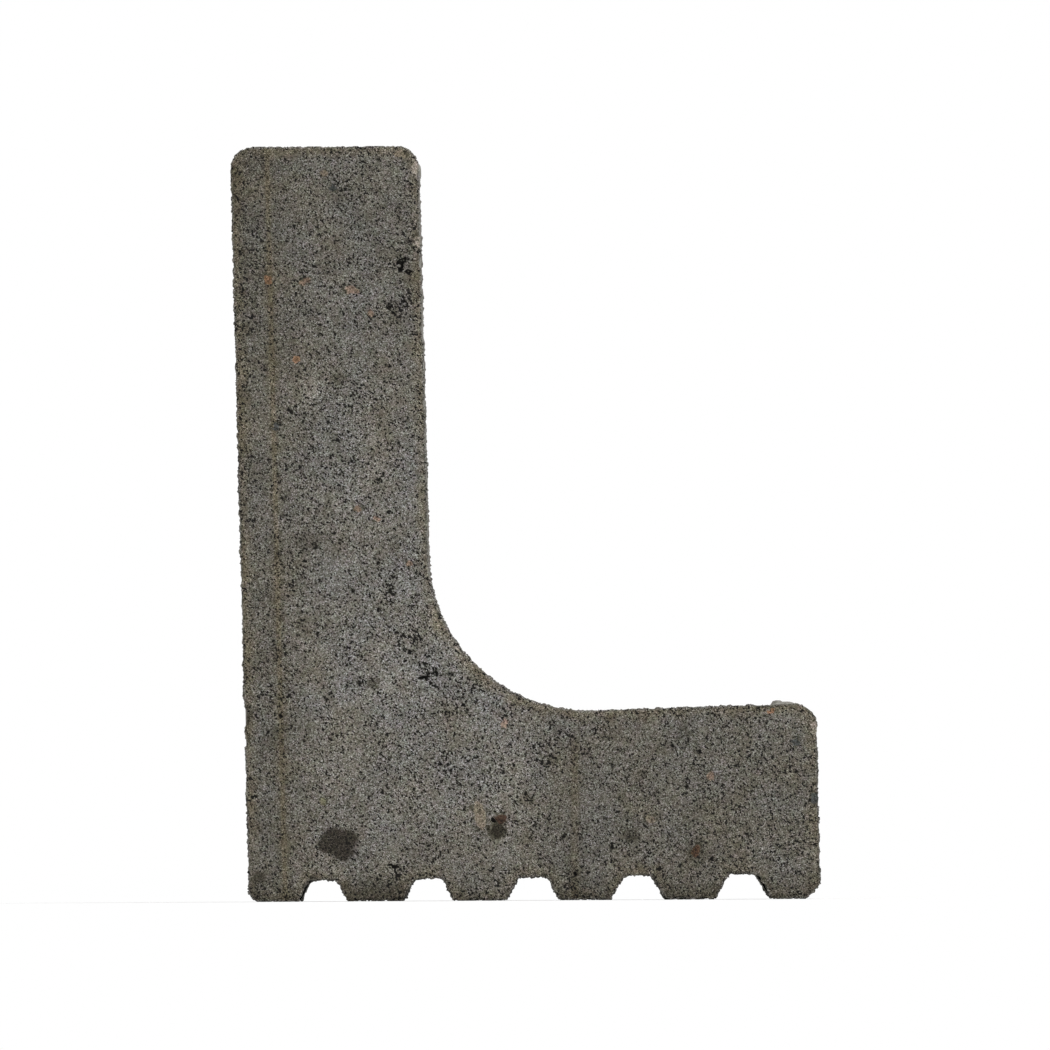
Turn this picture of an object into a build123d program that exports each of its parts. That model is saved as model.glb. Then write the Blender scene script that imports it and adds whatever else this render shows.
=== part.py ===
from build123d import *

import os
from math import radians, tan

# L-shaped concrete kerb stone, cast in one piece, with a grooved underside.
# The section is drawn in XZ and runs along Y. The stem stands on the left, the foot points to +X,
# and the stone rests on the ribs between its bed grooves at Z = 0. The origin is at the middle of
# the stone's box, on the bed. All lengths are in millimetres.

# Overall sizes
height = 400.0  # from the bed to the top of the stem
depth = 303.5  # from heel to toe, along the bed
length = 400.0  # from end face to end face

# Walls
stem_thickness = 100.0  # measured level
foot_root_thickness = 98.5  # where the foot's upper face would meet the stem, before rounding
foot_toe_thickness = 104.0  # at the toe, so that the foot thickens outwards
lean_deg = 1.1  # the stem's faces and the toe lean back from upright by this angle

# Edges
inner_radius = 84.5  # swept corner between stem and foot
edge_radius = 11.5  # both top edges of the stem and the upper edge of the toe
heel_chamfer = 3.6  # lower edge at the heel
toe_chamfer = 7.6  # lower edge at the toe

# Bed grooves, which run the whole length and key the stone into its mortar.
# They widen and deepen evenly from the first, near the heel, to the last, near the toe.
groove_count = 5
heel_margin = 39.4  # from the heel to the middle of the first groove
toe_margin = 41.2  # from the toe to the middle of the last groove
first_mouth = 25.0
last_mouth = 30.0
first_groove_depth = 11.2
last_groove_depth = 13.4
groove_root = 14.5
groove_root_radius = 4.0

overrun = 5.0  # how far a cut passes the face that it opens


def leaning(x, z):
    """The point at height z on a face that leaves the bed at x and leans back."""
    return (x - z * tan(radians(lean_deg)), z)


def corners(face, *points):
    """The face's vertices at those points of the section."""
    return [face.vertices().sort_by_distance(point)[0] for point in points]


def stem_and_foot():
    """The L section, with its swept inner corner, rounded upper edges and chamfered lower ones."""
    heel, toe = leaning(0, 0), leaning(depth, 0)
    outer_top, inner_top = leaning(0, height), leaning(stem_thickness, height)
    inner_corner = leaning(stem_thickness, foot_root_thickness)
    toe_top = leaning(depth, foot_toe_thickness)
    outline = Polyline(heel, outer_top, inner_top, inner_corner, toe_top, toe, close=True)
    section = make_face(outline)
    section = fillet(corners(section, inner_corner), inner_radius)
    section = fillet(corners(section, outer_top, inner_top, toe_top), edge_radius)
    section = chamfer(corners(section, heel), heel_chamfer)
    return chamfer(corners(section, toe), toe_chamfer)


def bed_groove(share):
    """One groove's section about its own middle, a trapezium with a rounded root.

    The share is 0 for the groove near the heel and 1 for the one near the toe.
    """
    mouth = (first_mouth + share * (last_mouth - first_mouth)) / 2
    top = first_groove_depth + share * (last_groove_depth - first_groove_depth)
    root = groove_root / 2
    outline = Polyline(
        (-mouth, -overrun),
        (-mouth, 0),
        (-root, top),
        (root, top),
        (mouth, 0),
        (mouth, -overrun),
        close=True,
    )
    section = make_face(outline)
    return fillet(corners(section, (-root, top), (root, top)), groove_root_radius)


def kerb_stone():
    """The whole stone, centred on its own box and standing on its bed."""
    section = stem_and_foot()
    run = depth - heel_margin - toe_margin
    for number in range(groove_count):
        share = number / (groove_count - 1)
        section -= Pos(heel_margin + share * run, 0) * bed_groove(share)
    stone = extrude(Plane.XZ * section, amount=length / 2, both=True)
    return Pos(-stone.bounding_box().center().X, 0, 0) * stone


os.makedirs("parts", exist_ok=True)
export_step(kerb_stone(), "parts/kerb_stone.step")
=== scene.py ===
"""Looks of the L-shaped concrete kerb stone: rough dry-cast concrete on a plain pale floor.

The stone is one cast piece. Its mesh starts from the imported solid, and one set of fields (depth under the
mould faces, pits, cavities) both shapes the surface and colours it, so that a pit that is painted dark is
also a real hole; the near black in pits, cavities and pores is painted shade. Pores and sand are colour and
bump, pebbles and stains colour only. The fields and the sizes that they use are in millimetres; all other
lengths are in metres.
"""

import logging
import math
from dataclasses import dataclass, field
from enum import Enum
from functools import reduce
from typing import Any, ClassVar, Optional, Sequence, Union

import bmesh
import bpy
from mathutils import Matrix, Vector


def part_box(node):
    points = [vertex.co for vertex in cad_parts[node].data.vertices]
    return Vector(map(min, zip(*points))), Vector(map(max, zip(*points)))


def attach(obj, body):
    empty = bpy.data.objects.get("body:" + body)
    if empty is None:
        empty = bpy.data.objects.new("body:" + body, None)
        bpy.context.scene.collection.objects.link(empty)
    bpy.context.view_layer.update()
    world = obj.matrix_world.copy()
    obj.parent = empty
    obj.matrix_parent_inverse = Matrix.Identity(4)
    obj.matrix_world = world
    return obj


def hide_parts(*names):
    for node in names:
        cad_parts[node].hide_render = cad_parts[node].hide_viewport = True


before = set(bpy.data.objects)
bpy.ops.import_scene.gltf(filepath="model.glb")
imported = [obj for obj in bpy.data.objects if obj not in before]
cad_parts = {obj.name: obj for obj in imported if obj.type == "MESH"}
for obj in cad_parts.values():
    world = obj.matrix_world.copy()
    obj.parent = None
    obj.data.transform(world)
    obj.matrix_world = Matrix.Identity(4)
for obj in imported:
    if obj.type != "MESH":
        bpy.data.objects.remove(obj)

LOG = logging.getLogger("kerb_stone")
MM = 0.001
Operand = Union["Value", float]
Socket = bpy.types.NodeSocket
Pair = tuple[float, float]
Triple = tuple[float, float, float]
Colour = tuple[float, float, float, float]


def shade(red: int, green: int, blue: int) -> Colour:
    """A colour as the eye reads it, from 0 to 255, turned into linear light.

    Args:
        red: red share.
        green: green share.
        blue: blue share.

    Returns:
        The linear colour, with full alpha.
    """
    parts = [channel / 255 for channel in (red, green, blue)]
    linear = [part / 12.92 if part < 0.04045 else ((part + 0.055) / 1.055) ** 2.4 for part in parts]
    return (*linear, 1.0)


class Value:
    """A number that varies over the surface: a socket of a node tree that can be reckoned with."""

    def __init__(self, graph: "Graph", socket: Socket) -> None:
        """Wraps a socket of the graph's tree."""
        self.graph = graph
        self.socket = socket

    def __add__(self, other: Operand) -> "Value":
        """Sum."""
        return self.graph.maths("ADD", self, other)

    __radd__ = __add__

    def __sub__(self, other: Operand) -> "Value":
        """Difference."""
        return self.graph.maths("SUBTRACT", self, other)

    def __rsub__(self, other: Operand) -> "Value":
        """Difference from a plain number."""
        return self.graph.maths("SUBTRACT", other, self)

    def __mul__(self, other: Operand) -> "Value":
        """Product."""
        return self.graph.maths("MULTIPLY", self, other)

    __rmul__ = __mul__

    def __truediv__(self, other: Operand) -> "Value":
        """Quotient."""
        return self.graph.maths("DIVIDE", self, other)

    def __pow__(self, other: Operand) -> "Value":
        """Power."""
        return self.graph.maths("POWER", self, other)

    def __abs__(self) -> "Value":
        """The value without its sign."""
        return self.graph.maths("ABSOLUTE", self)

    def at_most(self, other: Operand) -> "Value":
        """The smaller of two values."""
        return self.graph.maths("MINIMUM", self, other)

    def at_least(self, other: Operand) -> "Value":
        """The larger of two values."""
        return self.graph.maths("MAXIMUM", self, other)

    def step(self, low: Operand, high: Operand, start: Operand = 0.0, end: Operand = 1.0) -> "Value":
        """A smooth step from start to end as the value goes from low to high.

        Args:
            low: where the step begins.
            high: where the step ends.
            start: result below low.
            end: result above high.

        Returns:
            The stepped value.
        """
        sockets = dict(enumerate((self, low, high, start, end)))
        settings = {"interpolation_type": "SMOOTHSTEP"}
        return self.graph.value(self.graph.node("ShaderNodeMapRange", settings, sockets))


class Graph:
    """Adds nodes to one node tree, of a material or of a shape."""

    def __init__(self, tree: bpy.types.NodeTree) -> None:
        """Keeps the tree that gets the nodes."""
        self.tree = tree

    def node(
        self,
        kind: str,
        settings: Optional[dict[str, Any]] = None,
        inputs: Optional[dict[Union[str, int], Any]] = None,
    ) -> bpy.types.Node:
        """Adds one node.

        Args:
            kind: the node's type.
            settings: its own settings, set before its sockets; stops are a ramp's places and colours.
            inputs: values or links of its sockets, by name or number.

        Returns:
            The new node.
        """
        made = self.tree.nodes.new(kind)
        for name, setting in (settings or {}).items():
            if name == "stops":
                elements = made.color_ramp.elements
                while len(elements) < len(setting):
                    elements.new(1.0)
                made.color_ramp.interpolation = "CONSTANT"
                for element, (place, colour) in zip(elements, setting):
                    element.position, element.color = place, colour
            else:
                setattr(made, name, setting)
        for name, given in (inputs or {}).items():
            source = given.socket if isinstance(given, Value) else given
            if isinstance(source, Socket):
                self.tree.links.new(source, made.inputs[name])
            else:
                made.inputs[name].default_value = source
        return made

    def value(self, node: bpy.types.Node, output: Union[str, int] = 0) -> Value:
        """One output of a node, as a value."""
        return Value(self, node.outputs[output])

    def maths(self, operation: str, *operands: Operand) -> Value:
        """One Math node on the operands."""
        return self.value(self.node("ShaderNodeMath", {"operation": operation}, dict(enumerate(operands))))

    def vector(self, operation: str, *operands: Any, scale: Optional[Operand] = None) -> Socket:
        """One Vector Math node that gives a vector.

        Args:
            operation: the node's operation.
            operands: its vectors.
            scale: the number of a scaling.

        Returns:
            The vector's socket.
        """
        sockets: dict[Union[str, int], Any] = dict(enumerate(operands))
        if scale is not None:
            sockets["Scale"] = scale
        return self.node("ShaderNodeVectorMath", {"operation": operation}, sockets).outputs["Vector"]

    def length(self, vector: Socket) -> Value:
        """The length of a vector."""
        return self.value(self.node("ShaderNodeVectorMath", {"operation": "LENGTH"}, {0: vector}), "Value")

    def parts(self, vector: Socket) -> tuple[Value, Value, Value]:
        """The three parts of a vector."""
        split = self.node("ShaderNodeSeparateXYZ", inputs={0: vector})
        return self.value(split, 0), self.value(split, 1), self.value(split, 2)

    def joined(self, x: Operand, y: Operand, z: Operand) -> Socket:
        """A vector from its three parts."""
        return self.node("ShaderNodeCombineXYZ", inputs={0: x, 1: y, 2: z}).outputs[0]

    def about_y(self, vector: Socket, degrees: float) -> Socket:
        """A vector turned about the y axis."""
        turn = {"Vector": vector, "Angle": math.radians(degrees)}
        return self.node("ShaderNodeVectorRotate", {"rotation_type": "Y_AXIS"}, turn).outputs[0]

    def cells(self, place: Any, size: float) -> tuple[Value, tuple[Value, Value, Value]]:
        """Scattered cells, such as grains in a mix.

        Args:
            place: where, in millimetres.
            size: spacing of the cells, in millimetres.

        Returns:
            The distance from the cell's middle as a share of the spacing, and three random shares.
        """
        made = self.node("ShaderNodeTexVoronoi", inputs={"Vector": place, "Scale": 1 / size})
        return self.value(made, "Distance"), self.parts(made.outputs["Color"])

    def mix(self, factor: Operand, first: Any, second: Any, blend: str = "MIX") -> Socket:
        """Mixes two colours.

        Args:
            factor: share of the second colour.
            first: first colour.
            second: second colour, or a value that is read as a grey.
            blend: the way they blend.

        Returns:
            The mixed colour's socket.
        """
        settings = {"data_type": "RGBA", "blend_type": blend}
        return self.node("ShaderNodeMix", settings, {0: factor, 6: first, 7: second}).outputs[2]


@dataclass(frozen=True)
class Photograph:
    """How the photograph's pixels lie on the stone's near end face."""

    pixels: float = 1050.0
    mm_per_pixel: float = 0.5295
    aim_mm: Pair = (-0.35, 198.8)
    roll_deg: float = 0.32

    def on_face(self, column: float, row: float) -> Pair:
        """The place on the end face that a pixel shows.

        Args:
            column: pixels from the left.
            row: pixels from the top.

        Returns:
            x and z, in millimetres.
        """
        right = (column - self.pixels / 2) * self.mm_per_pixel
        up = (self.pixels / 2 - row) * self.mm_per_pixel
        turn = math.radians(self.roll_deg)
        x = self.aim_mm[0] + right * math.cos(turn) + up * math.sin(turn)
        z = self.aim_mm[1] - right * math.sin(turn) + up * math.cos(turn)
        return x, z


PHOTOGRAPH = Photograph()


class Aggregate(Enum):
    """The stones in the mix that stand out, by colour."""

    ORANGE = shade(134, 103, 79)
    CLAY = shade(112, 94, 79)
    RUST = shade(50, 32, 20)
    UMBER = shade(92, 69, 51)
    TAN = shade(119, 109, 93)
    PINK = shade(130, 111, 97)
    EARTH = shade(36, 31, 23)
    SLATE = shade(62, 65, 63)
    OLIVE = shade(108, 104, 82)
    PALE = shade(150, 142, 129)


@dataclass(frozen=True)
class Fade:
    """A smooth change of an amount from start to end, as a field goes from low to high."""

    low: float
    high: float
    start: float = 0.0
    end: float = 1.0

    def of(self, value: Value) -> Value:
        """The amount where the field has that value."""
        return value.step(self.low, self.high, self.start, self.end)


@dataclass(frozen=True)
class Cloud:
    """One soft noise: the size of its features in millimetres, its finer octaves, and its height.

    Its own grid is turned, so that no face of the stone lies along it.
    """

    size: float
    detail: float = 2.0
    rough: float = 0.5
    height: float = 1.0
    axis: ClassVar[Triple] = (0.50, 0.62, 0.60)
    turn: ClassVar[float] = 0.9

    def of(self, fields: "StoneFields", place: Optional[Socket] = None) -> Value:
        """The noise over the stone, or at another place, mostly between its height and as far below 0."""
        return fields.graph.value(self._node(fields, fields.place if place is None else place)) * self.height

    def moved(self, fields: "StoneFields") -> Socket:
        """The place on the stone, moved about by the noise."""
        graph, clouds = fields.graph, self._node(fields, fields.place).outputs["Color"]
        return graph.vector("ADD", fields.place, graph.vector("SCALE", clouds, scale=self.height))

    def _node(self, fields: "StoneFields", place: Socket) -> bpy.types.Node:
        """Adds the noise to a tree.

        Args:
            fields: the fields of the tree.
            place: where the noise is read, in millimetres.

        Returns:
            The noise's node.
        """
        turn = {"Vector": place, "Axis": self.axis, "Angle": self.turn}
        turned = fields.graph.node("ShaderNodeVectorRotate", {"rotation_type": "AXIS_ANGLE"}, turn).outputs[0]
        sockets = {"Vector": turned, "Scale": 1 / self.size, "Detail": self.detail, "Roughness": self.rough}
        return fields.graph.node("ShaderNodeTexNoise", {"normalize": False}, sockets)


@dataclass(frozen=True)
class Patch:
    """An oval place on the near end face, at a pixel of the photograph.

    The sizes are its full width and height in millimetres, and tilt turns it anticlockwise in degrees.
    """

    column: float
    row: float
    width: float
    height: float
    tilt: float = 0.0
    behind: ClassVar[float] = 0.0
    reach: ClassVar[float] = 14.0

    def radius(self, fields: "StoneFields") -> Value:
        """How far a place lies from the patch's middle.

        Args:
            fields: the fields of the tree that asks.

        Returns:
            0 in the middle and 1 on the oval.
        """
        x, z = PHOTOGRAPH.on_face(self.column, self.row)
        graph = fields.graph
        local = graph.vector("SUBTRACT", fields.warped, (x, fields.section.near_end + self.behind, z))
        if self.tilt:
            local = graph.about_y(local, self.tilt)
        return graph.length(graph.vector("DIVIDE", local, (self.width / 2, self.reach, self.height / 2)))


@dataclass(frozen=True)
class Stain(Patch):
    """A smudge on the end face: the share of the tone that it takes away, negative where it is pale."""

    depth: float = 0.5
    soft: float = 0.35

    def tone(self, fields: "StoneFields") -> Value:
        """The share of the tone that the smudge leaves."""
        return self.radius(fields).step(1 - self.soft, 1 + self.soft, 1 - self.depth, 1.0)


@dataclass(frozen=True)
class Graded(Patch):
    """A patch with an amount, which is full inside the first of its rims and gone outside the second."""

    amount: float = 1.0
    rims: ClassVar[Pair] = (0.6, 1.2)

    def share(self, fields: "StoneFields") -> Value:
        """The amount at a place."""
        return self.radius(fields).step(*self.rims, self.amount, 0.0)


@dataclass(frozen=True)
class Cavity(Graded):
    """A hole in the end face; its amount is its depth in millimetres."""


@dataclass(frozen=True)
class Porous(Graded):
    """A place on the end face where the pores crowd; its amount is how much they do."""

    rims: ClassVar[Pair] = (0.4, 1.2)


@dataclass(frozen=True)
class Swelling(Graded):
    """A low bulge of a mould face behind the end face, which shows past its edge.

    Its amount is its rise in millimetres.
    """

    behind: ClassVar[float] = 45.0
    reach: ClassVar[float] = 36.0
    rims: ClassVar[Pair] = (0.2, 1.0)


# Marks that the photograph shows: column, row, width, height, tilt and what the mark adds.
PEBBLES = {
    Aggregate.ORANGE: (
        Patch(297, 359, 4.2, 3.8),
        Patch(268, 280, 4.6, 5.0),
        Patch(771, 711, 4.4, 3.0, 20),
    ),
    Aggregate.CLAY: (
        Patch(305, 281, 6.0, 4.0, 30),
        Patch(409, 564, 4.2, 4.0),
        Patch(358, 509, 4.8, 3.6),
        Patch(377, 519, 4.8, 3.4, -20),
    ),
    Aggregate.RUST: (Patch(501, 819, 6.6, 5.4),),
    Aggregate.UMBER: (Patch(696, 851, 5.0, 7.0, -20),),
    Aggregate.TAN: (
        Patch(480, 816, 6.6, 15.5, 10),
        Patch(324, 174, 4.6, 4.0),
        Patch(650, 819, 5.6, 4.6, -20),
        Patch(399, 154, 7.0, 3.6, -10),
    ),
    Aggregate.PINK: (
        Patch(352, 290, 9.0, 4.0, -14),
        Patch(371, 313, 3.6, 4.0),
        Patch(505, 723, 4.4, 5.0),
        Patch(711, 776, 3.6, 4.8),
    ),
    Aggregate.EARTH: (
        Patch(337, 842, 18.0, 15.0, -10),
        Patch(345, 840, 13.0, 12.0),
        Patch(343, 851, 12.0, 10.0, 20),
        Patch(327, 846, 10.0, 8.0, 10),
    ),
    Aggregate.SLATE: (
        Patch(334, 188, 4.6, 2.8, 10),
        Patch(276, 427, 3.6, 5.0),
        Patch(815, 798, 5.0, 6.4),
        Patch(796, 742, 5.4, 3.0, -20),
    ),
    Aggregate.OLIVE: (Patch(323, 802, 3.6, 3.6),),
    Aggregate.PALE: (
        Patch(417, 242, 5.0, 6.4),
        Patch(415, 167, 3.6, 8.0),
        Patch(814, 729, 4.0, 8.0),
    ),
}
STAINS = (
    Stain(498, 831, 9.5, 8.0, 0, 0.54),
    Stain(249, 716, 5.0, 13.0, 0, 0.10, 0.4),
    Stain(310, 542, 17.0, 9.0, 0, 0.14, 0.6),
    Stain(341, 379, 8.0, 6.0, 0, 0.18, 0.5),
    Stain(631, 836, 9.0, 7.0, 0, 0.32, 0.5),
    Stain(684, 733, 8.0, 10.0, 0, 0.16, 0.5),
    Stain(374, 683, 6.0, 6.0, 0, 0.30, 0.4),
    Stain(259, 877, 7.0, 6.0, 0, 0.30, 0.4),
    Stain(375, 893, 42.0, 14.0, 0, 0.20, 0.6),
    Stain(695, 850, 13.0, 14.0, 0, 0.16, 0.6),
    Stain(308, 390, 17.0, 12.0, 0, -0.13, 0.7),
    Stain(360, 480, 34.0, 40.0, 30, -0.05, 0.8),
    Stain(430, 700, 120.0, 120.0, 0, -0.06, 0.8),
    Stain(505, 800, 20.0, 34.0, 20, -0.06, 0.7),
)
CAVITIES = (
    Cavity(400, 266, 4.0, 7.0, 10, 4.0),
    Cavity(406, 260, 8.0, 3.0, 15, 3.5),
    Cavity(409, 272, 4.0, 2.6, -30, 2.5),
    Cavity(405, 303, 3.0, 6.0, 10, 2.4),
    Cavity(391, 312, 6.0, 2.0, -45, 2.0),
    Cavity(423, 678, 7.0, 2.0, 8, 2.5),
    Cavity(431, 683, 2.8, 1.8, -20, 2.0),
    Cavity(436, 673, 1.8, 3.6, 0, 1.6),
    Cavity(410, 652, 3.6, 2.0, 25, 1.8),
    Cavity(361, 684, 4.0, 3.0, 0, 1.5),
    Cavity(393, 866, 7.0, 2.0, -15, 2.0),
    Cavity(493, 820, 2.4, 3.0, 0, 2.0),
    Cavity(517, 824, 4.0, 1.2, -35, 1.6),
)
CHIPS = (
    Cavity(246, 716, 5.0, 12.0, 5, 2.4),
    Cavity(247, 740, 4.0, 8.0, -5, 1.6),
    Cavity(422, 262, 3.0, 7.0, 0, 1.2),
    Cavity(421, 330, 3.0, 8.0, 0, 1.2),
)
POROUS = (
    Porous(390, 590, 9.0, 18.0, 0, 1.0),
    Porous(413, 603, 4.0, 9.0, -20, 0.9),
    Porous(406, 638, 22.0, 14.0, -20, 0.55),
    Porous(430, 672, 18.0, 16.0, -30, 0.58),
    Porous(400, 304, 14.0, 26.0, -20, 0.6),
    Porous(412, 240, 10.0, 20.0, 0, 0.5),
    Porous(545, 755, 22.0, 22.0, 0, 0.62),
    Porous(455, 773, 10.0, 8.0, 0, 0.5),
    Porous(468, 690, 26.0, 20.0, 30, 0.30),
    Porous(361, 684, 12.0, 8.0, 0, 0.6),
    Porous(397, 871, 10.0, 12.0, -30, 0.9),
)
SWELLINGS = (
    Swelling(784, 705, 20.0, 16.0, 0, 2.1),
    Swelling(778, 703, 8.0, 14.0, 0, 2.9),
    Swelling(418, 171, 16.0, 15.0, 0, 1.9),
)


@dataclass(frozen=True)
class Section:
    """The stone's section and length, in millimetres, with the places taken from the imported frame.

    The slants turn a distance measured level, or along both faces of a chamfer, into depth under the face.
    """

    depth: float = 303.5
    stem: float = 100.0
    foot_root: float = 98.5
    foot_toe: float = 104.0
    lean_deg: float = 1.1
    inner_radius: float = 84.5
    edge_radius: float = 11.5
    heel_chamfer: float = 3.6
    toe_chamfer: float = 7.6
    groove_count: int = 5
    heel_margin: float = 39.4
    toe_margin: float = 41.2
    first_mouth: float = 25.0
    last_mouth: float = 30.0
    first_groove: float = 11.2
    last_groove: float = 13.4
    groove_root: float = 14.5
    chamfer_slant: float = 0.707
    groove_slant: float = 0.87
    low: Vector = field(default_factory=lambda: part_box("kerb_stone")[0] / MM)
    high: Vector = field(default_factory=lambda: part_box("kerb_stone")[1] / MM)

    @property
    def near_end(self) -> float:
        """y of the end face that the photograph shows."""
        return self.low.y

    @property
    def lean(self) -> float:
        """How far a side face leans back for each millimetre of height."""
        return math.tan(math.radians(self.lean_deg))

    @property
    def toe(self) -> float:
        """x of the toe, where its leaning face would meet the bed."""
        return self.high.x + self.toe_chamfer * math.sin(math.radians(self.lean_deg))

    @property
    def heel(self) -> float:
        """x of the heel on the bed."""
        return self.toe - self.depth

    def past_heel(self, x: Value, z: Value) -> Value:
        """How far a place lies from the stem's outer face, measured level."""
        return x + z * self.lean - self.heel

    def under_skin(self, graph: Graph, x: Value, z: Value) -> Value:
        """How deep a place lies under the nearest mould face, whatever its place along the stone.

        Args:
            graph: the tree that asks.
            x: place across the stone.
            z: place above the bed.

        Returns:
            The depth in millimetres, 0 on the mould faces.
        """
        level = math.cos(math.radians(self.lean_deg))
        across = self.past_heel(x, z)
        heel, toe = across * level, (self.depth - across) * level
        top = self.high.z - z
        inner = self._under_inner_corner(graph, x, z, across - self.stem)
        rounded = [self._rounded(graph, *pair) for pair in ((heel, top), (inner, top), (toe, inner))]
        heel_edge = (heel + z - self.heel_chamfer) * self.chamfer_slant
        toe_edge = (toe + z - self.toe_chamfer) * self.chamfer_slant
        groove = self._beside_groove(graph, x, z)
        return reduce(Value.at_most, [*rounded, heel_edge.at_most(toe_edge), groove, z])

    def _rounded(self, graph: Graph, first: Value, second: Value) -> Value:
        """Depth under two faces that meet in a rounded edge, up to its radius."""
        aside = [(self.edge_radius - depth).at_least(0.0) for depth in (first, second)]
        return self.edge_radius - graph.length(graph.joined(aside[0], 0.0, aside[1]))

    def _under_inner_corner(self, graph: Graph, x: Value, z: Value, past_stem: Value) -> Value:
        """Depth under the stem's inner face, the swept corner and the foot's upper face.

        Args:
            graph: the tree that asks.
            x: place across the stone.
            z: place above the bed.
            past_stem: how far the place lies from the stem's inner face, measured level.

        Returns:
            The depth in millimetres.
        """
        corner = self.heel + self.stem - self.foot_root * self.lean
        slope = (self.foot_toe - self.foot_root) / (self.depth - self.stem)
        above_foot = z - (x - corner) * slope - self.foot_root
        across = self.inner_radius - past_stem
        down = self.inner_radius - above_foot
        swept = graph.length(graph.joined(across.at_least(0.0), 0.0, down.at_least(0.0)))
        return swept + across.at_least(down).at_most(0.0) - self.inner_radius

    def _beside_groove(self, graph: Graph, x: Value, z: Value) -> Value:
        """Depth beside and above the nearest bed groove.

        Args:
            graph: the tree that asks.
            x: place across the stone.
            z: place above the bed.

        Returns:
            The depth in millimetres.
        """
        steps = self.groove_count - 1
        pitch = (self.depth - self.heel_margin - self.toe_margin) / steps
        along = (x - (self.heel + self.heel_margin)) / pitch
        share = graph.maths("ROUND", along) / float(steps)
        aside = graph.maths("PINGPONG", along, 0.5) * pitch
        mouth = share * (self.last_mouth - self.first_mouth) + self.first_mouth
        top = share * (self.last_groove - self.first_groove) + self.first_groove
        half = mouth / 2.0 - (mouth - self.groove_root) / 2.0 * (z / top)
        return ((aside - half) * self.groove_slant).at_least(z - top)


class StoneFields:
    """The fields that both shape and colour the stone, in the node tree that asks for them.

    Fades named for the skin run over depth under the mould faces, those named for the end over depth behind
    the end faces, and those named for chance over the random share of a cell. A core or rim is the least
    radius and what a cell's size adds, in shares of the spacing.
    """

    cut_skin = Fade(1.0, 2.5)
    cut_end = Fade(6.0, 8.0, 1.0, 0.0)
    face_skin = Fade(0.3, 2.0)
    open_skin = Fade(0.3, 2.5)
    open_end = Fade(1.0, 7.0, 1.0, 0.0)
    warp = Cloud(2.4, 2.0, height=1.1)
    crowds = Cloud(24.0, 2.0, 0.55)
    porous_crowding = 0.6

    pit_spacing = 6.5
    pit_core = (0.08, 0.10)
    pit_rim = (0.22, 0.14)
    pit_chance = Fade(0.93, 0.96)
    crowded_pits = 0.22
    open_pits = 0.06

    pore_tilt = 45.0
    pore_stretch = (1.0, 1.0, 0.7)
    pore_spacing = 0.72
    pore_chance = Fade(0.89, 0.895)
    gaps = Cloud(1.9, 1.5, 0.6)
    gap_level = Fade(0.62, 0.66)
    crowded_pores = 0.09
    porous_pores = 0.12
    porous_gaps = 0.40
    skin_pores = 0.3

    stub_spacing = 2.7
    stub = Fade(0.30, 0.50, 0.15, 1.0)

    def __init__(self, graph: Graph, section: Section, place: Socket) -> None:
        """Starts the fields of one tree.

        Holes in the end faces are cut straight in, so there every field is read at the face itself.

        Args:
            graph: the tree.
            section: the stone's sizes.
            place: the place on the stone, in metres.
        """
        self.graph = graph
        self.section = section
        self.x, self.y, self.z = graph.parts(graph.vector("SCALE", place, scale=1 / MM))
        self.skin = section.under_skin(graph, self.x, self.z)
        self.to_end = section.high.y - abs(self.y)
        at_end = self.cut_end.of(self.to_end)
        outward = graph.maths("SIGN", self.y) * section.high.y - self.y
        along = self.y + outward * (self.cut_skin.of(self.skin) * at_end)
        self.place = graph.joined(self.x, along, self.z)
        self.end_face = self.face_skin.of(self.skin) * at_end
        self.open_face = self.open_skin.of(self.skin).at_least(self.open_end.of(self.to_end))
        self.warped = self.warp.moved(self)
        self.porous = self.most(POROUS)
        self.crowding = self.crowds.of(self) + self.porous * self.porous_crowding

    def most(self, patches: Sequence[Graded]) -> Value:
        """The largest amount of the patches at a place."""
        return reduce(Value.at_least, [patch.share(self) for patch in patches])

    def nearest(self, patches: Sequence[Patch]) -> Value:
        """The radius about the nearest of the patches."""
        return reduce(Value.at_most, [patch.radius(self) for patch in patches])

    def arris(self, width: float) -> Value:
        """1 on the edges of the end faces, fading out over the width in millimetres."""
        return self.skin.at_least(self.to_end).step(0.0, width, 1.0, 0.0)

    def pits(self) -> Value:
        """Ragged holes of a few millimetres.

        Returns:
            1 in the middles of the holes and 0 between them.
        """
        distance, (chance, size, _) = self.graph.cells(self.warped, self.pit_spacing)
        rare = chance + self.crowding * self.crowded_pits + self.open_face * self.open_pits
        low, high = (size * varied + least for least, varied in (self.pit_core, self.pit_rim))
        return distance.step(low, high, 1.0, 0.0) * self.pit_chance.of(rare)

    def pores(self) -> Value:
        """Small gaps between the grains, more of them where they crowd; the finish paints them black as
        shade.

        Returns:
            1 in the gaps and 0 between them.
        """
        graph = self.graph
        drawn = graph.vector("MULTIPLY", graph.about_y(self.place, self.pore_tilt), self.pore_stretch)
        dense = self.crowding * self.crowded_pores + self.porous * self.porous_pores
        dense = dense - (1 - self.open_face) * self.skin_pores
        _, (chance, _, _) = graph.cells(drawn, self.pore_spacing)
        large = self.gaps.of(self, drawn) + dense + self.porous * self.porous_gaps
        return self.pore_chance.of(chance + dense).at_least(self.gap_level.of(large))

    def cavities(self) -> Value:
        """The depth of the placed cavities, in millimetres, and 0 elsewhere; grains stand up in them."""
        distance, _ = self.graph.cells(self.place, self.stub_spacing)
        return self.most(CAVITIES) * self.stub.of(distance)

    def swellings(self) -> Value:
        """The rise of the low bulges, in millimetres, and 0 elsewhere."""
        return self.most(SWELLINGS) * (1 - self.open_face)


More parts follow.
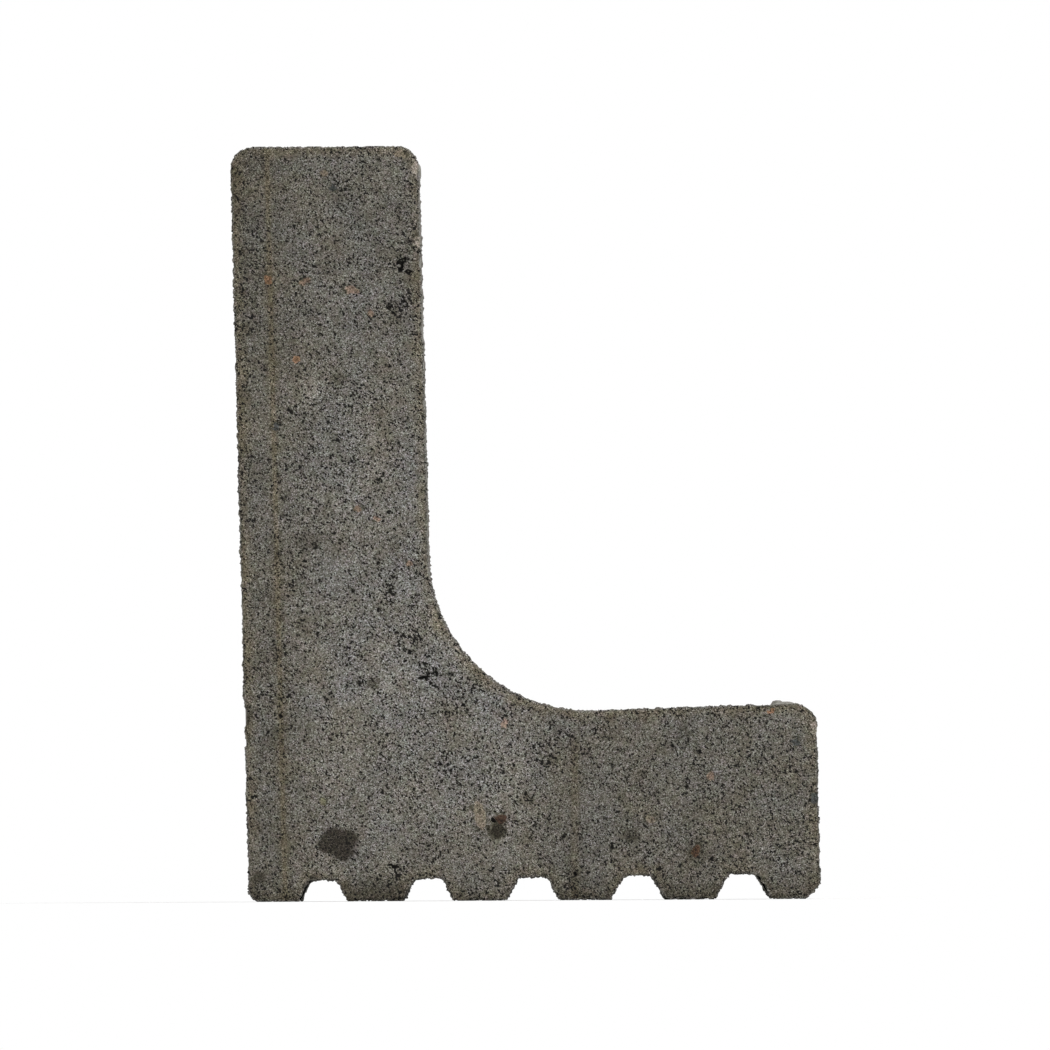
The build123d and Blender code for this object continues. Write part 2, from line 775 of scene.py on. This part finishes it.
@dataclass(frozen=True)
class Relief:
    """How rough the stone's faces are, in millimetres.

    The mould faces have the skin heights only. A reach is how far from an end arris its crumbs, its chips or
    its lift go.
    """

    waves: Cloud = Cloud(60.0, 1.0, height=0.20)
    lumps: Cloud = Cloud(7.0)
    lump_height: float = 0.22
    skin_lump_height: float = 0.05
    grain: Cloud = Cloud(1.9, 2.0, 0.6)
    grain_height: float = 0.30
    skin_grain_height: float = 0.03
    crumb_spacing: float = 1.2
    crumb_loss: float = 0.6
    crumb_height: float = 1.5
    crumb_waves: Cloud = Cloud(3.4, 1.0, height=0.6)
    crumb_reach: float = 5.0
    crumbs_up: Fade = Fade(12.0, 24.0, 1.4, 1.0)
    chips: Cloud = Cloud(8.0)
    chip_level: Fade = Fade(0.20, 0.65)
    chip_depth: float = 1.4
    chip_reach: float = 4.5
    pit_depth: float = 1.5
    skin_inset: float = 0.55
    inset: float = 0.35
    arris_lift: float = 0.20
    lift_reach: float = 9.0

    def height(self, fields: StoneFields) -> Value:
        """How far the surface stands out; holes and chips are negative.

        Args:
            fields: the fields of the tree.

        Returns:
            The height in millimetres.
        """
        open_face = fields.open_face
        waves = self.waves.of(fields)
        lumps = self.lumps.of(fields) * (open_face * self.lump_height + self.skin_lump_height)
        grain = self.grain.of(fields) * (open_face * self.grain_height + self.skin_grain_height)
        _, (crumb, _, _) = fields.graph.cells(fields.place, self.crumb_spacing)
        crumbs = (crumb - self.crumb_loss) * self.crumb_height + self.crumb_waves.of(fields)
        chips = self.chip_level.of(self.chips.of(fields)) * self.chip_depth
        holes = fields.pits() * self.pit_depth + fields.cavities() + fields.most(CHIPS)
        broken = crumbs * fields.arris(self.crumb_reach) * self.crumbs_up.of(fields.z)
        broken = broken - chips * fields.arris(self.chip_reach)
        level = fields.swellings() - (1 - open_face) * self.skin_inset
        level = level + fields.arris(self.lift_reach) * self.arris_lift - self.inset
        return waves + lumps + grain + broken - holes + level


@dataclass
class KerbStone:
    """The cast stone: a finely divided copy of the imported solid, roughened as dry-cast concrete is."""

    section: Section = field(default_factory=Section)
    relief: Relief = Relief()
    node: str = "kerb_stone"
    name: str = "kerb_stone_cast"
    merge: float = 0.01 * MM
    flat_deg: float = 0.5
    arris_deg: float = 80.0
    arris_round: float = 0.6 * MM
    voxel: float = 1.25 * MM
    quick_voxel: float = 2.6 * MM
    ring: float = 3.6 * MM
    ring_facing: float = 0.97
    triangles: int = 194_000

    def build(self) -> bpy.types.Object:
        """Makes the stone's mesh.

        Returns:
            The finished piece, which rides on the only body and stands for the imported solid.
        """
        stone = bpy.data.objects.new(self.name, self._blank())
        bpy.context.scene.collection.objects.link(stone)
        remesh = stone.modifiers.new("even", "REMESH")
        remesh.mode = "VOXEL"
        remesh.voxel_size = self.voxel
        self._settle(stone)
        loose = stone.vertex_groups.new(name="loose")
        self._refine(stone.data, loose.index)
        relief = stone.modifiers.new("relief", "NODES")
        relief.node_group = self._relief()
        self._settle(stone)
        count = sum(len(polygon.vertices) - 2 for polygon in stone.data.polygons)
        if count > self.triangles:
            thin = stone.modifiers.new("thin", "DECIMATE")
            thin.ratio = self.triangles / count
            thin.vertex_group = loose.name
            self._settle(stone)
        stone.vertex_groups.clear()
        for vertex in stone.data.vertices:
            inside = zip(vertex.co, self.section.low * MM, self.section.high * MM)
            vertex.co = [min(max(part, low), high) for part, low, high in inside]
        stone.data.shade_smooth()
        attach(stone, "root")
        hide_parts(self.node)
        LOG.info("%s: %d triangles of %d", stone.name, len(stone.data.polygons), count)
        return stone

    def dress(self, stone: bpy.types.Object, finish: "Concrete") -> None:
        """Gives the stone its finish."""
        stone.data.materials.clear()
        stone.data.materials.append(finish.material(self.section))

    def _blank(self) -> bpy.types.Mesh:
        """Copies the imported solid, merges its faces and takes off its end arrises.

        Returns:
            The mesh.
        """
        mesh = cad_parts[self.node].data.copy()
        mesh.name = self.name
        work = bmesh.new()
        work.from_mesh(mesh)
        bmesh.ops.remove_doubles(work, verts=work.verts, dist=self.merge)
        flat = math.radians(self.flat_deg)
        bmesh.ops.dissolve_limit(work, angle_limit=flat, verts=work.verts, edges=work.edges)
        sharp = [edge for edge in work.edges if edge.calc_face_angle(0.0) > math.radians(self.arris_deg)]
        bmesh.ops.bevel(
            work,
            geom=[edge for edge in sharp if self._on_end(edge)],
            offset=self.arris_round,
            affect="EDGES",
            segments=2,
            profile=0.5,
            material=-1,
        )
        work.to_mesh(mesh)
        work.free()
        mesh.materials.clear()
        return mesh

    def _on_end(self, edge: bmesh.types.BMEdge) -> bool:
        """Whether an edge lies in one of the end faces."""
        first, second = (vertex.co.y for vertex in edge.verts)
        return abs(first - second) < MM and abs(first) > self.section.high.y * MM - MM

    @staticmethod
    def _settle(stone: bpy.types.Object) -> None:
        """Turns the object's modifiers into its own mesh.

        Args:
            stone: the object.
        """
        found = stone.evaluated_get(bpy.context.evaluated_depsgraph_get())
        mesh = bpy.data.meshes.new_from_object(found)
        stone.modifiers.clear()
        stone.data = mesh

    def _refine(self, mesh: bpy.types.Mesh, loose: int) -> None:
        """Divides the mesh once more along the end arrises, and marks what may be thinned out later.

        Args:
            mesh: the evenly divided mesh.
            loose: number of the vertex group of what may be thinned.
        """
        end = self.section.high.y * MM - self.ring
        work = bmesh.new()
        work.from_mesh(mesh)
        near = [face for face in work.faces if abs(face.calc_center_median().y) > end]
        ring = [face for face in near if abs(face.normal.y) < self.ring_facing]
        edges = list({edge for face in ring for edge in face.edges})
        divided = bmesh.ops.subdivide_edges(work, edges=edges, cuts=1, use_grid_fill=True)
        kept = {part for part in divided["geom"] if isinstance(part, bmesh.types.BMVert)}
        weights = work.verts.layers.deform.verify()
        for vertex in work.verts:
            if vertex not in kept:
                vertex[weights][loose] = 1.0
        work.to_mesh(mesh)
        work.free()

    def _relief(self) -> bpy.types.NodeTree:
        """Makes the node tree that roughens the stone.

        Returns:
            The tree, which keeps the stone above its bed.
        """
        tree = bpy.data.node_groups.new("stone_relief", "GeometryNodeTree")
        for side in ("INPUT", "OUTPUT"):
            tree.interface.new_socket("Geometry", in_out=side, socket_type="NodeSocketGeometry")
        graph = Graph(tree)
        place = graph.node("GeometryNodeInputPosition").outputs[0]
        out = self.relief.height(StoneFields(graph, self.section, place))
        normal = graph.node("GeometryNodeInputNormal").outputs[0]
        x, y, z = graph.parts(graph.vector("ADD", place, graph.vector("SCALE", normal, scale=out * MM)))
        seated = graph.joined(x, y, z.at_least(0.0))
        shape = graph.node("NodeGroupInput").outputs[0]
        shaped = graph.node("GeometryNodeSetPosition", inputs={"Geometry": shape, "Position": seated})
        graph.node("NodeGroupOutput", inputs={0: shaped.outputs[0]})
        return tree


@dataclass(frozen=True)
class Concrete:
    """Dry-cast concrete: grey paste with open grain, pores painted black as shade, sand and a few coloured
    stones.

    Places and sizes are in millimetres. Warmth is the share of the warm colour, a shade is a share of the
    tone, and a fade that ends in up runs over height above the bed.
    """

    cool: Colour = shade(96, 94, 88)
    warm: Colour = shade(98, 91, 75)
    skin: Colour = shade(124, 122, 114)
    skin_cover: float = 0.8
    # Near black painted into pores, pits and cavities: painted shade in the holes.
    hole_shadow_colour: Colour = shade(12, 10, 8)
    hole_shadow_cover: float = 0.98
    hole_shadow_on_stone: float = 0.4
    cavity_shadow: Fade = Fade(0.3, 1.4)
    roughness: float = 0.92
    specular: float = 0.25
    tone_powers: Triple = (2.20, 2.27, 2.52)
    least_tone: float = 0.1
    greenness: Cloud = Cloud(4.0, 3.0, 0.7, 0.07)

    hue: Cloud = Cloud(22.0, 4.0, 0.6, 0.36)
    warmth: float = 0.34
    most_warmth: float = 1.3
    stem_across: Fade = Fade(26.0, 44.0)
    stem_up: Fade = Fade(70.0, 120.0)
    stem_coolness: float = 0.11
    edge_wander: Cloud = Cloud(9.0, height=3.0)
    edge_warmth: Fade = Fade(1.5, 8.5, 0.55, 0.0)
    edge_up: Fade = Fade(18.0, 40.0, 0.65, 1.0)

    drip: float = 19.6
    drip_core: Fade = Fade(0.6, 1.8, 0.45, 0.0)
    drip_halo: Fade = Fade(1.0, 5.0, 0.24, 0.0)
    drip_shade: Fade = Fade(1.0, 6.0, -0.05, 0.0)
    drip_shade_up: Fade = Fade(150.0, 210.0, 1.0, 0.0)
    foot_drip: float = 25.2
    foot_drip_warmth: Fade = Fade(0.8, 3.4, 0.36, 0.0)
    foot_drip_shade: Fade = Fade(1.0, 7.0, -0.07, 0.0)
    foot_drip_up: Fade = Fade(80.0, 95.0, 1.0, 0.0)

    shade_wander: Cloud = Cloud(30.0, height=6.0)
    heel_shade: Fade = Fade(16.0, 46.0, -0.09, 0.0)
    foot_shade: Fade = Fade(-6.0, 18.0, 0.0, -0.08)
    top_shade_up: Fade = Fade(230.0, 350.0, 0.0, -0.09)
    bed_shade_up: Fade = Fade(1.0, 16.0, -0.14, 0.0)
    bed_wander: float = 0.5
    blotches: Cloud = Cloud(40.0, height=0.03)
    small_blotches: Cloud = Cloud(13.0, 3.0, 0.6, 0.06)

    sand_wander: Cloud = Cloud(0.8, 1.0, height=0.2)
    sand_spacing: float = 0.42
    sand_light: float = 0.80
    sand_dark: float = 1.02
    sand_level: float = 0.12
    gap_spacing: float = 1.05
    gap: Fade = Fade(0.25, 0.75)
    # Darkening along the gaps between the grains: painted shade.
    gap_shadow: float = 0.05
    calm: Cloud = Cloud(11.0, 1.0)
    calm_level: Fade = Fade(0.25, 0.7)
    calm_loss: float = 0.35
    stone_loss: float = 0.35
    skin_sand: float = 0.3
    open_sand: float = 0.7
    sand_bump: float = 0.14
    gap_bump: float = 0.06
    pore_bump: float = 0.3

    scatter_spacing: float = 15.0
    scatter_core: Pair = (0.05, 0.06)
    scatter_rim: Pair = (0.10, 0.09)
    scatter_chance: Fade = Fade(0.84, 0.86)
    scatter_cover: float = 0.6
    near_half: Fade = Fade(-1.0, 1.0, 0.45, 0.0)
    stone: Fade = Fade(0.80, 1.10, 1.0, 0.0)
    earth: Fade = Fade(0.80, 1.20, 1.0, 0.0)
    stone_cover: float = 0.9
    # A broken dark ring round each placed stone: painted shadow in the gap round it.
    rim_inner: Fade = Fade(0.95, 1.15)
    rim_outer: Fade = Fade(1.2, 1.6, 1.0, 0.0)
    rim_breaks: Cloud = Cloud(4.0, 1.0)
    rim_level: Fade = Fade(-0.1, 0.3)
    rim_shadow_depth: float = 0.35

    def material(self, section: Section) -> bpy.types.Material:
        """Makes the finish.

        Args:
            section: the stone's sizes, which the fields follow.

        Returns:
            The material.
        """
        made = bpy.data.materials.new("cast_concrete")
        made.use_nodes = True
        graph = Graph(made.node_tree)
        shader = made.node_tree.nodes["Principled BSDF"]
        shader.inputs["Specular IOR Level"].default_value = self.specular
        shader.inputs["Roughness"].default_value = self.roughness
        fields = StoneFields(graph, section, graph.node("ShaderNodeTexCoord").outputs["Object"])
        sand, gaps = self._sand(fields)
        pores = fields.pores()
        colour, cover, rim_shadow = self._stones(fields, self._paste(fields))
        calm = self.calm_level.of(self.calm.of(fields))
        strength = (1 - cover * self.stone_loss) * (1 - calm * self.calm_loss)
        strength = strength * (fields.open_face * self.open_sand + self.skin_sand)
        # The ring round the stones darkens the tone: painted shadow.
        tone = (sand * strength + 1) * self._broad(fields) * (1 - rim_shadow * self.rim_shadow_depth)
        tone = tone.at_least(self.least_tone)
        red, green, blue = (tone ** power for power in self.tone_powers)
        tint = graph.joined(red, green * (self.greenness.of(fields) + 1), blue)
        colour = graph.mix(1.0, colour, tint, "MULTIPLY")
        # Pores, pits and cavities are painted near black, less so on coloured stones: painted shade in the
        # holes.
        holes = pores.at_least(fields.pits()).at_least(self.cavity_shadow.of(fields.cavities()))
        holes = holes * (1 - cover * self.hole_shadow_on_stone) * self.hole_shadow_cover
        colour = graph.mix(holes, colour, self.hole_shadow_colour)
        height = (sand * self.sand_bump - gaps * self.gap_bump) * strength - pores * self.pore_bump
        bump = graph.node("ShaderNodeBump", inputs={"Strength": 1.0, "Distance": MM, "Height": height})
        made.node_tree.links.new(bump.outputs[0], shader.inputs["Normal"])
        made.node_tree.links.new(colour, shader.inputs["Base Color"])
        return made

    def _paste(self, fields: StoneFields) -> Socket:
        """The cement's own colour: browner along edges and drip lines, paler on the mould faces.

        Args:
            fields: the fields of the tree.

        Returns:
            The colour's socket.
        """
        graph = fields.graph
        across = fields.section.past_heel(fields.x, fields.z)
        stem = self.stem_across.of(across) * self.stem_up.of(fields.z)
        hue = self.hue.of(fields) - stem * fields.end_face * self.stem_coolness + self.warmth
        edge = self.edge_warmth.of(fields.skin + self.edge_wander.of(fields)) * self.edge_up.of(fields.z)
        beside = abs(across - self.drip)
        line = self.drip_core.of(beside) + self.drip_halo.of(beside)
        second = self.foot_drip_warmth.of(abs(fields.x - self.foot_drip)) * self.foot_drip_up.of(fields.z)
        warmth = hue + (edge + line.at_least(second)) * fields.end_face
        colour = graph.mix(warmth.at_least(0.0).at_most(self.most_warmth), self.cool, self.warm)
        return graph.mix((1 - fields.open_face) * self.skin_cover, colour, self.skin)

    def _broad(self, fields: StoneFields) -> Value:
        """Broad lighter and darker areas, and the placed stains.

        Args:
            fields: the fields of the tree.

        Returns:
            The tone, about 1.
        """
        x, z, past_heel = fields.x, fields.z, fields.section.past_heel
        wander = self.shade_wander.of(fields)
        left = self.heel_shade.of(past_heel(x, z + wander) + wander)
        foot = self.foot_shade.of(x + wander)
        top = self.top_shade_up.of(z + wander)
        bed = self.bed_shade_up.of(z + wander * self.bed_wander)
        line = self.drip_shade.of(abs(past_heel(x, z) - self.drip)) * self.drip_shade_up.of(z)
        second = self.foot_drip_shade.of(abs(x - self.foot_drip)) * self.foot_drip_up.of(z)
        blotches = self.blotches.of(fields) + self.small_blotches.of(fields)
        result = (left + foot + top + bed + line + second) * fields.end_face + blotches + 1
        for stain in STAINS:
            result = result * stain.tone(fields)
        return result

    def _sand(self, fields: StoneFields) -> tuple[Value, Value]:
        """The sand grains and the gaps between them.

        Args:
            fields: the fields of the tree.

        Returns:
            The tone of the grains, about 0, with painted shade in the gaps, and the gaps, from 0 to 1.
        """
        place = self.sand_wander.moved(fields)
        _, (fine, _, _) = fields.graph.cells(place, self.sand_spacing)
        distance, _ = fields.graph.cells(place, self.gap_spacing)
        gaps = self.gap.of(distance)
        spread = (fine * 2.0 - 1) * abs(fine * 2.0 - 1)
        tone = spread.at_least(0.0) * self.sand_light + spread.at_most(0.0) * self.sand_dark
        # The gaps between the grains are darkened a little: painted shade.
        return tone - gaps * self.gap_shadow + self.sand_level, gaps

    def _stones(self, fields: StoneFields, colour: Socket) -> tuple[Socket, Value, Value]:
        """Coloured stones of the mix: scattered ones everywhere, and those that the photograph shows.

        Args:
            fields: the fields of the tree.
            colour: the paste's colour.

        Returns:
            The colour with the stones, how far a place lies on one, and the painted shadow in the gap round
            one.
        """
        graph = fields.graph
        distance, (chance, size, kind) = graph.cells(fields.warped, self.scatter_spacing)
        shades = [aggregate.value for aggregate in Aggregate]
        stops = [(number / len(shades), tone) for number, tone in enumerate(shades)]
        scattered = graph.node("ShaderNodeValToRGB", {"stops": stops}, {0: kind}).outputs[0]
        share = self.scatter_cover - fields.end_face * self.near_half.of(fields.y)
        low, high = (size * varied + least for least, varied in (self.scatter_core, self.scatter_rim))
        total = distance.step(low, high, 1.0, 0.0) * self.scatter_chance.of(chance) * share
        colour = graph.mix(total, colour, scattered)
        rims = []
        for aggregate in Aggregate:
            radius = fields.nearest(PEBBLES[aggregate])
            earthy = aggregate is Aggregate.EARTH
            cover = (self.earth if earthy else self.stone).of(radius)
            colour = graph.mix(cover * self.stone_cover, colour, aggregate.value)
            if not earthy:
                total = total.at_least(cover)
                # The ring round the stone is painted shadow in the gap round it.
                rims.append(self.rim_inner.of(radius) * self.rim_outer.of(radius))
        broken = self.rim_level.of(self.rim_breaks.of(fields))
        return colour, total, reduce(Value.at_least, rims) * broken


@dataclass(frozen=True)
class Lamp:
    """One soft square lamp: where it hangs, its side in metres and its power in watts."""

    name: str
    place: Triple
    size: float
    power: float

    def hang(self, aim: Triple) -> None:
        """Hangs the lamp, aimed at a point and unseen by the camera.

        Args:
            aim: the point.
        """
        light = bpy.data.lights.new(self.name, "AREA")
        light.size, light.energy = self.size, self.power
        lamp = bpy.data.objects.new(self.name, light)
        lamp.location = self.place
        lamp.rotation_euler = (Vector(aim) - Vector(self.place)).to_track_quat("-Z", "Y").to_euler()
        lamp.visible_camera = False
        bpy.context.scene.collection.objects.link(lamp)


@dataclass
class Studio:
    """Floor, light, white surroundings and the camera that sees the stone as the photograph does."""

    photograph: Photograph = PHOTOGRAPH
    lens: float = 1700.0
    sensor: float = 36.0
    clip: Pair = (0.1, 200.0)
    eye: Pair = (0.0, 0.006)
    floor_size: float = 60.0
    floor_colour: Colour = (0.86, 0.86, 0.85, 1.0)
    floor_roughness: float = 0.9
    floor_specular: float = 0.1
    footprint: Pair = (0.155, 0.200)
    shadow_end: Fade = Fade(0.02, 0.30)
    world_light: float = 0.55
    lamp_aim: Triple = (0.0, 0.0, 0.2)
    lamps: tuple[Lamp, ...] = (
        Lamp("key", (1.3, -2.1, 3.4), 1.6, 100.0),
        Lamp("fill", (-2.4, -1.6, 1.8), 2.0, 14.0),
        Lamp("back", (0.6, 2.9, 1.6), 2.0, 45.0),
    )

    def build(self, section: Section) -> None:
        """Sets everything up around the stone.

        Args:
            section: the stone's sizes, which say where its near end is.
        """
        bpy.context.scene.view_settings.view_transform = "Standard"
        self._floor()
        self._world()
        for lamp in self.lamps:
            lamp.hang(self.lamp_aim)
        self._camera(section.near_end * MM)

    def _floor(self) -> None:
        """A wide pale floor that keeps the stone's shadow near it and is white to the eye further off."""
        mesh = bpy.data.meshes.new("floor")
        work = bmesh.new()
        bmesh.ops.create_grid(work, x_segments=1, y_segments=1, size=self.floor_size / 2)
        work.to_mesh(mesh)
        work.free()
        floor = bpy.data.objects.new("floor", mesh)
        bpy.context.scene.collection.objects.link(floor)
        made = bpy.data.materials.new("pale_floor")
        made.use_nodes = True
        graph = Graph(made.node_tree)
        shader = made.node_tree.nodes["Principled BSDF"]
        shader.inputs["Base Color"].default_value = self.floor_colour
        shader.inputs["Roughness"].default_value = self.floor_roughness
        shader.inputs["Specular IOR Level"].default_value = self.floor_specular
        x, y, _ = graph.parts(graph.node("ShaderNodeTexCoord").outputs["Object"])
        aside = (abs(x) - self.footprint[0]).at_least(abs(y) - self.footprint[1])
        away = self.shadow_end.of(aside) * self._seen(graph)
        white = graph.node("ShaderNodeEmission", inputs={"Strength": 1.0})
        blend = graph.node("ShaderNodeMixShader", inputs={0: away, 1: shader.outputs[0], 2: white.outputs[0]})
        output = made.node_tree.nodes["Material Output"]
        made.node_tree.links.new(blend.outputs[0], output.inputs["Surface"])
        mesh.materials.append(made)

    @staticmethod
    def _seen(graph: Graph) -> Value:
        """Tells rays that show the surroundings to the eye, straight, in gloss or through glass.

        Args:
            graph: the tree that asks.

        Returns:
            1 for such rays and 0 for others.
        """
        path = graph.node("ShaderNodeLightPath")
        names = ("Is Camera Ray", "Is Glossy Ray", "Is Transmission Ray")
        return reduce(Value.at_least, [graph.value(path, name) for name in names])

    def _world(self) -> None:
        """Even light from all round, and white surroundings to the eye."""
        world = bpy.data.worlds.new("surroundings")
        world.use_nodes = True
        bpy.context.scene.world = world
        graph = Graph(world.node_tree)
        background = world.node_tree.nodes["Background"]
        background.inputs["Color"].default_value = (1.0, 1.0, 1.0, 1.0)
        strength = self._seen(graph) * (1 - self.world_light) + self.world_light
        world.node_tree.links.new(strength.socket, background.inputs["Strength"])

    def _camera(self, near_end: float) -> None:
        """The camera: far off and straight on, so that only the end face shows.

        Args:
            near_end: y of the end face.
        """
        shot = self.photograph
        data = bpy.data.cameras.new("camera")
        data.lens, data.sensor_width = self.lens, self.sensor
        data.clip_start, data.clip_end = self.clip
        away = shot.pixels * shot.mm_per_pixel * MM * self.lens / self.sensor
        aim = Vector((shot.aim_mm[0] * MM, near_end, shot.aim_mm[1] * MM))
        camera = bpy.data.objects.new("camera", data)
        camera.location = (self.eye[0], near_end - away, self.eye[1])
        turn = (aim - camera.location).to_track_quat("-Z", "Y").to_matrix()
        roll = Matrix.Rotation(-math.radians(shot.roll_deg), 3, "Z")
        camera.rotation_euler = (turn @ roll).to_euler()
        bpy.context.scene.collection.objects.link(camera)
        bpy.context.scene.camera = camera


def main() -> None:
    """Builds the stone and its surroundings."""
    logging.basicConfig(level=logging.INFO, format="%(name)s %(message)s")
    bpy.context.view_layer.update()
    stone = KerbStone()
    piece = stone.build()
    stone.dress(piece, Concrete())
    Studio().build(stone.section)


if __name__ == "__main__":
    main()
